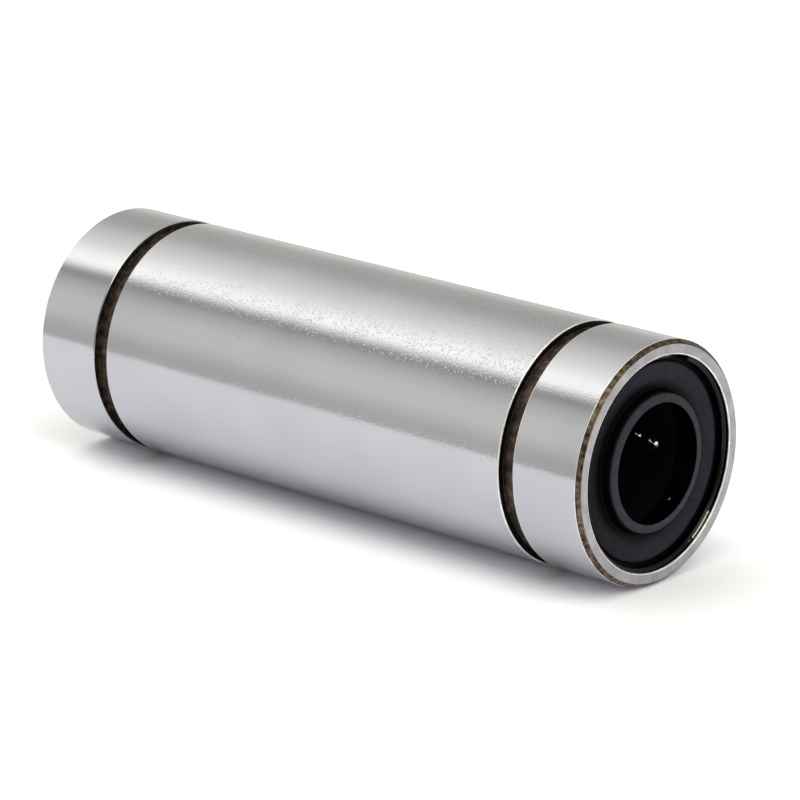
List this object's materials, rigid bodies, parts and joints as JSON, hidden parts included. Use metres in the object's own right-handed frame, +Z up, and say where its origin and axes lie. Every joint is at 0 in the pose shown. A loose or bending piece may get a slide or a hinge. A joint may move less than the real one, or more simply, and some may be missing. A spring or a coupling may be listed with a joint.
{
  "type": "linear ball bearing",
  "caption": "Long closed linear ball bearing for a round shaft: a ground steel sleeve with two ring grooves, lipped rubber end seals and recirculating ball circuits.",
  "frame": {"origin": "middle of the bore, half way along the bearing", "axes": "+X along the bearing axis towards the front end, +Z up as it lies on its side"},
  "size_m": [0.045, 0.015, 0.015],
  "materials": {
    "ground_steel": "ground and polished, bright",
    "retainer_resin": "moulded, matt",
    "seal_rubber": "moulded, matt",
    "stiffener_steel": "stamped",
    "spring_wire": "drawn, dark",
    "ball_steel": "polished"
  },
  "bodies": {
    "bearing_body": {"outer_sleeve": "ground_steel", "front_retainer": "retainer_resin", "rear_retainer": "retainer_resin", "front_seal": "seal_rubber", "rear_seal": "seal_rubber", "front_seal_core": "stiffener_steel", "rear_seal_core": "stiffener_steel", "front_wire_ring": "spring_wire", "rear_wire_ring": "spring_wire"},
    "front_load_balls_1": {"front_load_balls_1": "ball_steel"},
    "front_return_balls_1": {"front_return_balls_1": "ball_steel"},
    "front_outer_turn_balls_1": {"front_outer_turn_balls_1": "ball_steel"},
    "front_inner_turn_balls_1": {"front_inner_turn_balls_1": "ball_steel"},
    "front_load_balls_2": {"front_load_balls_2": "ball_steel"},
    "front_return_balls_2": {"front_return_balls_2": "ball_steel"},
    "front_outer_turn_balls_2": {"front_outer_turn_balls_2": "ball_steel"},
    "front_inner_turn_balls_2": {"front_inner_turn_balls_2": "ball_steel"},
    "front_load_balls_3": {"front_load_balls_3": "ball_steel"},
    "front_return_balls_3": {"front_return_balls_3": "ball_steel"},
    "front_outer_turn_balls_3": {"front_outer_turn_balls_3": "ball_steel"},
    "front_inner_turn_balls_3": {"front_inner_turn_balls_3": "ball_steel"},
    "front_load_balls_4": {"front_load_balls_4": "ball_steel"},
    "front_return_balls_4": {"front_return_balls_4": "ball_steel"},
    "front_outer_turn_balls_4": {"front_outer_turn_balls_4": "ball_steel"},
    "front_inner_turn_balls_4": {"front_inner_turn_balls_4": "ball_steel"},
    "rear_load_balls_1": {"rear_load_balls_1": "ball_steel"},
    "rear_return_balls_1": {"rear_return_balls_1": "ball_steel"},
    "rear_outer_turn_balls_1": {"rear_outer_turn_balls_1": "ball_steel"},
    "rear_inner_turn_balls_1": {"rear_inner_turn_balls_1": "ball_steel"},
    "rear_load_balls_2": {"rear_load_balls_2": "ball_steel"},
    "rear_return_balls_2": {"rear_return_balls_2": "ball_steel"},
    "rear_outer_turn_balls_2": {"rear_outer_turn_balls_2": "ball_steel"},
    "rear_inner_turn_balls_2": {"rear_inner_turn_balls_2": "ball_steel"},
    "rear_load_balls_3": {"rear_load_balls_3": "ball_steel"},
    "rear_return_balls_3": {"rear_return_balls_3": "ball_steel"},
    "rear_outer_turn_balls_3": {"rear_outer_turn_balls_3": "ball_steel"},
    "rear_inner_turn_balls_3": {"rear_inner_turn_balls_3": "ball_steel"},
    "rear_load_balls_4": {"rear_load_balls_4": "ball_steel"},
    "rear_return_balls_4": {"rear_return_balls_4": "ball_steel"},
    "rear_outer_turn_balls_4": {"rear_outer_turn_balls_4": "ball_steel"},
    "rear_inner_turn_balls_4": {"rear_inner_turn_balls_4": "ball_steel"}
  },
  "joints": [
    {"name": "front_load_slide_1", "type": "slide", "parent": "bearing_body", "child": "front_load_balls_1", "axis": [1, 0, 0], "range_m": [-0.00081, 0.00081]},
    {"name": "front_return_slide_1", "type": "slide", "parent": "bearing_body", "child": "front_return_balls_1", "axis": [1, 0, 0], "range_m": [-0.00081, 0.00081]},
    {"name": "front_outer_turn_1", "type": "hinge", "parent": "bearing_body", "child": "front_outer_turn_balls_1", "pos_m": [0.0166, 0.0049, 0.00167], "axis": [0, 0.9464, 0.3229], "range_deg": [-30, 30]},
    {"name": "front_inner_turn_1", "type": "hinge", "parent": "bearing_body", "child": "front_inner_turn_balls_1", "pos_m": [0.00395, 0.0049, 0.00167], "axis": [0, 0.9464, 0.3229], "range_deg": [-30, 30]},
    {"name": "front_load_slide_2", "type": "slide", "parent": "bearing_body", "child": "front_load_balls_2", "axis": [1, 0, 0], "range_m": [-0.00081, 0.00081]},
    {"name": "front_return_slide_2", "type": "slide", "parent": "bearing_body", "child": "front_return_balls_2", "axis": [1, 0, 0], "range_m": [-0.00081, 0.00081]},
    {"name": "front_outer_turn_2", "type": "hinge", "parent": "bearing_body", "child": "front_outer_turn_balls_2", "pos_m": [0.0166, -0.00167, 0.0049], "axis": [0, -0.3229, 0.9464], "range_deg": [-30, 30]},
    {"name": "front_inner_turn_2", "type": "hinge", "parent": "bearing_body", "child": "front_inner_turn_balls_2", "pos_m": [0.00395, -0.00167, 0.0049], "axis": [0, -0.3229, 0.9464], "range_deg": [-30, 30]},
    {"name": "front_load_slide_3", "type": "slide", "parent": "bearing_body", "child": "front_load_balls_3", "axis": [1, 0, 0], "range_m": [-0.00081, 0.00081]},
    {"name": "front_return_slide_3", "type": "slide", "parent": "bearing_body", "child": "front_return_balls_3", "axis": [1, 0, 0], "range_m": [-0.00081, 0.00081]},
    {"name": "front_outer_turn_3", "type": "hinge", "parent": "bearing_body", "child": "front_outer_turn_balls_3", "pos_m": [0.0166, -0.0049, -0.00167], "axis": [0, -0.9464, -0.3229], "range_deg": [-30, 30]},
    {"name": "front_inner_turn_3", "type": "hinge", "parent": "bearing_body", "child": "front_inner_turn_balls_3", "pos_m": [0.00395, -0.0049, -0.00167], "axis": [0, -0.9464, -0.3229], "range_deg": [-30, 30]},
    {"name": "front_load_slide_4", "type": "slide", "parent": "bearing_body", "child": "front_load_balls_4", "axis": [1, 0, 0], "range_m": [-0.00081, 0.00081]},
    {"name": "front_return_slide_4", "type": "slide", "parent": "bearing_body", "child": "front_return_balls_4", "axis": [1, 0, 0], "range_m": [-0.00081, 0.00081]},
    {"name": "front_outer_turn_4", "type": "hinge", "parent": "bearing_body", "child": "front_outer_turn_balls_4", "pos_m": [0.0166, 0.00167, -0.0049], "axis": [0, 0.3229, -0.9464], "range_deg": [-30, 30]},
    {"name": "front_inner_turn_4", "type": "hinge", "parent": "bearing_body", "child": "front_inner_turn_balls_4", "pos_m": [0.00395, 0.00167, -0.0049], "axis": [0, 0.3229, -0.9464], "range_deg": [-30, 30]},
    {"name": "rear_load_slide_1", "type": "slide", "parent": "bearing_body", "child": "rear_load_balls_1", "axis": [-1, 0, 0], "range_m": [-0.00081, 0.00081]},
    {"name": "rear_return_slide_1", "type": "slide", "parent": "bearing_body", "child": "rear_return_balls_1", "axis": [-1, 0, 0], "range_m": [-0.00081, 0.00081]},
    {"name": "rear_outer_turn_1", "type": "hinge", "parent": "bearing_body", "child": "rear_outer_turn_balls_1", "pos_m": [-0.0166, -0.0049, 0.00167], "axis": [0, -0.9464, 0.3229], "range_deg": [-30, 30]},
    {"name": "rear_inner_turn_1", "type": "hinge", "parent": "bearing_body", "child": "rear_inner_turn_balls_1", "pos_m": [-0.00395, -0.0049, 0.00167], "axis": [0, -0.9464, 0.3229], "range_deg": [-30, 30]},
    {"name": "rear_load_slide_2", "type": "slide", "parent": "bearing_body", "child": "rear_load_balls_2", "axis": [-1, 0, 0], "range_m": [-0.00081, 0.00081]},
    {"name": "rear_return_slide_2", "type": "slide", "parent": "bearing_body", "child": "rear_return_balls_2", "axis": [-1, 0, 0], "range_m": [-0.00081, 0.00081]},
    {"name": "rear_outer_turn_2", "type": "hinge", "parent": "bearing_body", "child": "rear_outer_turn_balls_2", "pos_m": [-0.0166, 0.00167, 0.0049], "axis": [0, 0.3229, 0.9464], "range_deg": [-30, 30]},
    {"name": "rear_inner_turn_2", "type": "hinge", "parent": "bearing_body", "child": "rear_inner_turn_balls_2", "pos_m": [-0.00395, 0.00167, 0.0049], "axis": [0, 0.3229, 0.9464], "range_deg": [-30, 30]},
    {"name": "rear_load_slide_3", "type": "slide", "parent": "bearing_body", "child": "rear_load_balls_3", "axis": [-1, 0, 0], "range_m": [-0.00081, 0.00081]},
    {"name": "rear_return_slide_3", "type": "slide", "parent": "bearing_body", "child": "rear_return_balls_3", "axis": [-1, 0, 0], "range_m": [-0.00081, 0.00081]},
    {"name": "rear_outer_turn_3", "type": "hinge", "parent": "bearing_body", "child": "rear_outer_turn_balls_3", "pos_m": [-0.0166, 0.0049, -0.00167], "axis": [0, 0.9464, -0.3229], "range_deg": [-30, 30]},
    {"name": "rear_inner_turn_3", "type": "hinge", "parent": "bearing_body", "child": "rear_inner_turn_balls_3", "pos_m": [-0.00395, 0.0049, -0.00167], "axis": [0, 0.9464, -0.3229], "range_deg": [-30, 30]},
    {"name": "rear_load_slide_4", "type": "slide", "parent": "bearing_body", "child": "rear_load_balls_4", "axis": [-1, 0, 0], "range_m": [-0.00081, 0.00081]},
    {"name": "rear_return_slide_4", "type": "slide", "parent": "bearing_body", "child": "rear_return_balls_4", "axis": [-1, 0, 0], "range_m": [-0.00081, 0.00081]},
    {"name": "rear_outer_turn_4", "type": "hinge", "parent": "bearing_body", "child": "rear_outer_turn_balls_4", "pos_m": [-0.0166, -0.00167, -0.0049], "axis": [0, -0.3229, -0.9464], "range_deg": [-30, 30]},
    {"name": "rear_inner_turn_4", "type": "hinge", "parent": "bearing_body", "child": "rear_inner_turn_balls_4", "pos_m": [-0.00395, -0.00167, -0.0049], "axis": [0, -0.3229, -0.9464], "range_deg": [-30, 30]}
  ],
  "couplings": [
    {"joint": "front_return_slide_1", "follows": "front_load_slide_1", "ratio": -1},
    {"joint": "front_outer_turn_1", "follows": "front_load_slide_1", "rad_per_m": -646},
    {"joint": "front_inner_turn_1", "follows": "front_load_slide_1", "rad_per_m": -646},
    {"joint": "front_return_slide_2", "follows": "front_load_slide_2", "ratio": -1},
    {"joint": "front_outer_turn_2", "follows": "front_load_slide_2", "rad_per_m": -646},
    {"joint": "front_inner_turn_2", "follows": "front_load_slide_2", "rad_per_m": -646},
    {"joint": "front_return_slide_3", "follows": "front_load_slide_3", "ratio": -1},
    {"joint": "front_outer_turn_3", "follows": "front_load_slide_3", "rad_per_m": -646},
    {"joint": "front_inner_turn_3", "follows": "front_load_slide_3", "rad_per_m": -646},
    {"joint": "front_return_slide_4", "follows": "front_load_slide_4", "ratio": -1},
    {"joint": "front_outer_turn_4", "follows": "front_load_slide_4", "rad_per_m": -646},
    {"joint": "front_inner_turn_4", "follows": "front_load_slide_4", "rad_per_m": -646},
    {"joint": "rear_return_slide_1", "follows": "rear_load_slide_1", "ratio": -1},
    {"joint": "rear_outer_turn_1", "follows": "rear_load_slide_1", "rad_per_m": -646},
    {"joint": "rear_inner_turn_1", "follows": "rear_load_slide_1", "rad_per_m": -646},
    {"joint": "rear_return_slide_2", "follows": "rear_load_slide_2", "ratio": -1},
    {"joint": "rear_outer_turn_2", "follows": "rear_load_slide_2", "rad_per_m": -646},
    {"joint": "rear_inner_turn_2", "follows": "rear_load_slide_2", "rad_per_m": -646},
    {"joint": "rear_return_slide_3", "follows": "rear_load_slide_3", "ratio": -1},
    {"joint": "rear_outer_turn_3", "follows": "rear_load_slide_3", "rad_per_m": -646},
    {"joint": "rear_inner_turn_3", "follows": "rear_load_slide_3", "rad_per_m": -646},
    {"joint": "rear_return_slide_4", "follows": "rear_load_slide_4", "ratio": -1},
    {"joint": "rear_outer_turn_4", "follows": "rear_load_slide_4", "rad_per_m": -646},
    {"joint": "rear_inner_turn_4", "follows": "rear_load_slide_4", "rad_per_m": -646}
  ]
}
